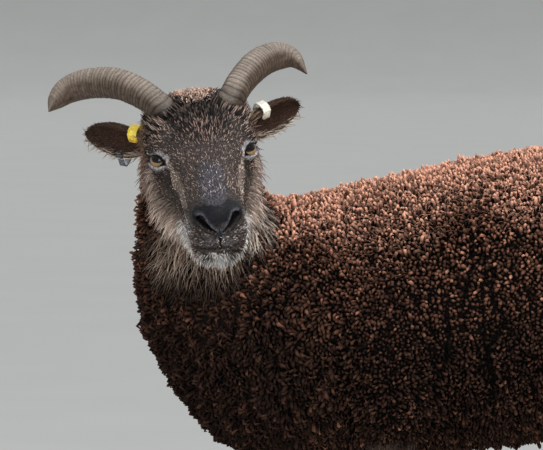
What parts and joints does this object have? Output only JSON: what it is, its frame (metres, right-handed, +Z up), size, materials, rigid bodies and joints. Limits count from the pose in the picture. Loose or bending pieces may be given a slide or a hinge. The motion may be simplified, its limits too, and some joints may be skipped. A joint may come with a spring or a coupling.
{
  "type": "soay sheep, horned, standing",
  "caption": "Standing dark brown Soay sheep with its head turned to its left, short arched ringed horns, loop ear tags and a full curly fleece.",
  "frame": {"origin": "on the floor, under the middle of the sheep's bounding box", "axes": "+Z up, the sheep faces -X, its left flank faces -Y, and its head is turned towards -Y"},
  "size_m": [0.9032, 0.4089, 0.689],
  "materials": {
    "fleece": "matte curly wool",
    "face": "short matte hair over skin",
    "leg": "short matte hair over skin",
    "horn": "ringed horn, satin",
    "hoof": "horn, worn satin",
    "eye": "wet gloss",
    "yellow_plastic": "satin",
    "white_plastic": "satin, dusty",
    "steel": "brushed"
  },
  "bodies": {
    "root": {"torso": "fleece", "neck": "fleece", "head": "face", "tail": "fleece", "horn_left": "horn", "horn_right": "horn", "ear_left": "face", "ear_right": "face", "eye_left": "eye", "eye_right": "eye", "leg_front_left": "leg", "leg_front_right": "leg", "leg_hind_left": "leg", "leg_hind_right": "leg", "ear_tag_yellow": "yellow_plastic", "ear_tag_white": "white_plastic", "ear_tag_metal": "steel", "hoof_front_left_a": "hoof", "hoof_front_left_b": "hoof", "hoof_front_right_a": "hoof", "hoof_front_right_b": "hoof", "hoof_hind_left_a": "hoof", "hoof_hind_left_b": "hoof", "hoof_hind_right_a": "hoof", "hoof_hind_right_b": "hoof"}
  },
  "joints": []
}
